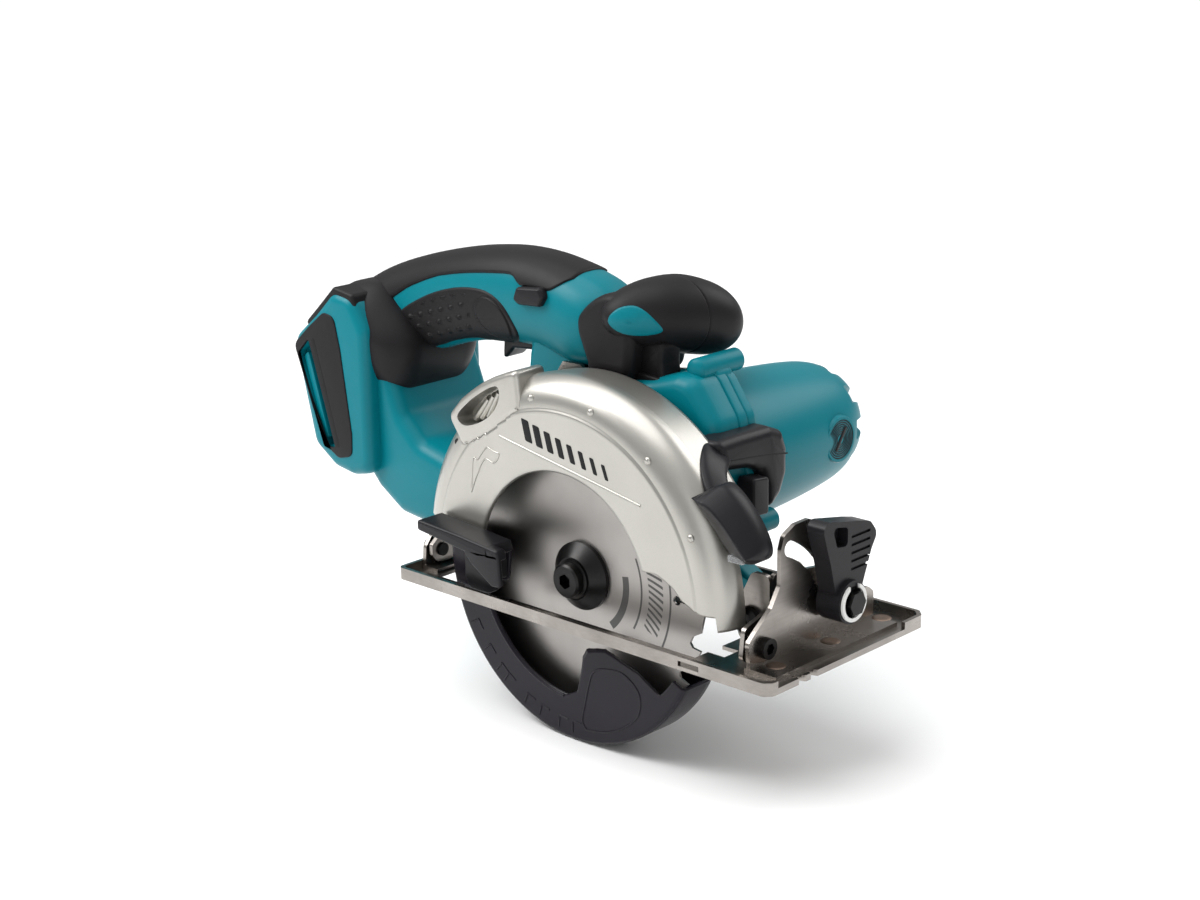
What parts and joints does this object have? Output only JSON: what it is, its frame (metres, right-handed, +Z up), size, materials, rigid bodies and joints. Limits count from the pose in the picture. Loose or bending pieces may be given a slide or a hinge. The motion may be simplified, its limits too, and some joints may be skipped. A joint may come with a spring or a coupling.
{
  "type": "circular saw",
  "caption": "Compact battery circular saw with a bevelling base, a sprung lower blade guard, a loop handle and a round front grip.",
  "frame": {"origin": "on the sole's plane, straight below the blade's centre and in the blade's middle plane", "axes": "+X is the cutting direction, +Y points to the motor side, +Z is up"},
  "size_m": [0.3092, 0.17, 0.1995],
  "materials": {
    "teal_plastic": "satin moulded",
    "black_plastic": "fine grained",
    "soft_grip": "grained elastomer",
    "guard_metal": "satin painted casting",
    "cast_metal": "as cast",
    "plated_steel": "bright plated",
    "blade_steel": "brushed",
    "dark_steel": "black oxide",
    "machined_steel": "machined",
    "copper": "copper",
    "clear": "clear",
    "white_plastic": "plain"
  },
  "bodies": {
    "housing": {"idler_pin": "machined_steel", "motor_housing": "teal_plastic", "motor_stator": "plated_steel", "brush_caps": "black_plastic", "carbon_brushes": "dark_steel", "brush_holders": "copper", "motor_bearings": "machined_steel", "gear_housing": "teal_plastic", "gear_cover": "cast_metal", "bearing_box": "cast_metal", "spindle_bearings": "machined_steel", "upper_guard": "guard_metal", "guard_snap_ring": "machined_steel", "depth_clamp_bolt": "dark_steel", "grip_cover": "soft_grip", "side_pad_near": "soft_grip", "side_pad_far": "soft_grip", "handle_shell_near": "teal_plastic", "handle_shell_far": "teal_plastic", "trigger_pin": "machined_steel", "switch_body": "black_plastic", "battery_terminal_block": "black_plastic", "battery_contacts": "copper", "grip_insert": "teal_plastic", "front_grip_near_part": "soft_grip", "front_grip_far_part": "soft_grip", "front_cover": "black_plastic", "lamp_housing": "black_plastic", "lamp_lens": "clear", "housing_screws": "dark_steel"},
    "blade_set": {"blade": "blade_steel", "inner_flange": "dark_steel", "outer_flange": "dark_steel", "blade_bolt": "dark_steel", "spindle": "machined_steel", "spindle_gear": "machined_steel"},
    "idler": {"idler_gear": "machined_steel"},
    "armature": {"motor_pinion": "machined_steel", "armature_shaft": "machined_steel", "armature_core": "dark_steel", "commutator": "copper", "motor_fan": "black_plastic"},
    "lower_guard": {"lower_guard": "black_plastic", "guard_lever": "black_plastic", "guard_lever_screw": "dark_steel", "guard_spring": "machined_steel"},
    "tilt_frame": {"tilt_bracket": "plated_steel", "depth_arc": "plated_steel", "depth_pivot_pin": "dark_steel", "bevel_clamp_screw": "dark_steel"},
    "base": {"base_plate": "plated_steel", "bevel_sector": "plated_steel", "rear_bracket": "plated_steel", "bevel_pivot_screws": "dark_steel"},
    "bevel_lever": {"bevel_lever": "black_plastic", "lever_retaining_ring": "white_plastic"},
    "depth_lever": {"depth_lever": "black_plastic"},
    "trigger": {"trigger": "black_plastic"},
    "lock_off": {"lock_off_lever": "black_plastic"},
    "shaft_lock": {"shaft_lock_button": "black_plastic"}
  },
  "joints": [
    {"name": "blade_spin", "type": "hinge", "parent": "housing", "child": "blade_set", "pos_m": [0, 0, 0.017], "axis": [0, 1, 0], "continuous": true},
    {"name": "idler_spin", "type": "hinge", "parent": "housing", "child": "idler", "pos_m": [0.00781, 0.03, 0.03322], "axis": [0, 1, 0], "continuous": true},
    {"name": "motor_spin", "type": "hinge", "parent": "housing", "child": "armature", "pos_m": [0.02168, 0.08, 0.06205], "axis": [0, 1, 0], "continuous": true},
    {"name": "guard_retract", "type": "hinge", "parent": "housing", "child": "lower_guard", "pos_m": [0, 0, 0.017], "axis": [0, 1, 0], "range_deg": [0, 142], "stiffness_Nm_per_rad": 0.15, "springref_deg": -34.38},
    {"name": "depth_adjust", "type": "hinge", "parent": "housing", "child": "tilt_frame", "pos_m": [0.085, 0.018, 0.015], "axis": [0, -1, 0], "range_deg": [0, 25]},
    {"name": "bevel_tilt", "type": "hinge", "parent": "tilt_frame", "child": "base", "pos_m": [0, -0.002, 0.01], "axis": [-1, 0, 0], "range_deg": [0, 50]},
    {"name": "bevel_clamp", "type": "hinge", "parent": "tilt_frame", "child": "bevel_lever", "pos_m": [0.108, 0.03653, 0.02149], "axis": [-1, 0, 0], "range_deg": [0, 50]},
    {"name": "depth_clamp", "type": "hinge", "parent": "housing", "child": "depth_lever", "pos_m": [-0.05, 0.028, 0.04], "axis": [0, 1, 0], "range_deg": [0, 60]},
    {"name": "trigger_pull", "type": "hinge", "parent": "housing", "child": "trigger", "pos_m": [-0.051, 0.038, 0.104], "axis": [0, 1, 0], "range_deg": [0, 10], "stiffness_Nm_per_rad": 0.3, "springref_deg": -17.19},
    {"name": "lock_off_press", "type": "slide", "parent": "housing", "child": "lock_off", "axis": [0, 0, -1], "range_m": [0, 0.003], "stiffness_N_per_m": 300, "springref_m": -0.003},
    {"name": "shaft_lock_press", "type": "slide", "parent": "housing", "child": "shaft_lock", "axis": [-1, 0, 0], "range_m": [0, 0.004], "stiffness_N_per_m": 400, "springref_m": -0.002}
  ],
  "couplings": [
    {"joint": "idler_spin", "follows": "blade_spin", "ratio": -1.7692},
    {"joint": "motor_spin", "follows": "blade_spin", "ratio": 7.6667}
  ]
}
